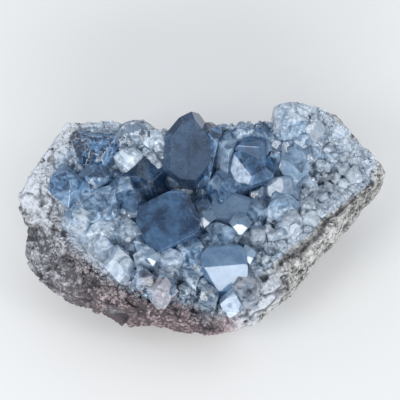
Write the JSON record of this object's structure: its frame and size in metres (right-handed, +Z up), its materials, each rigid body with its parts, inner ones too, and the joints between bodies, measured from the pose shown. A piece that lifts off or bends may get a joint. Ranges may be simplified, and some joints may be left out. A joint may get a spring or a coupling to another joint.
{
  "type": "celestite geode",
  "caption": "Palm-sized piece of a celestite geode lying on its back: a granular rock shell with a hollow full of pale blue, see-through crystals.",
  "frame": {"origin": "middle of the piece in plan, on the surface it lies on", "axes": "+X along the length towards the narrow lobe, +Y towards the high back rim, +Z up, the way the crystals face"},
  "size_m": [0.1294, 0.077, 0.0506],
  "materials": {
    "rock": "rough, granular, sugary where crystals start",
    "celestite": "clear to cloudy pale blue crystal with flat shiny faces"
  },
  "bodies": {
    "root": {"rock_shell": "rock", "crystal_crust": "celestite"}
  },
  "joints": []
}
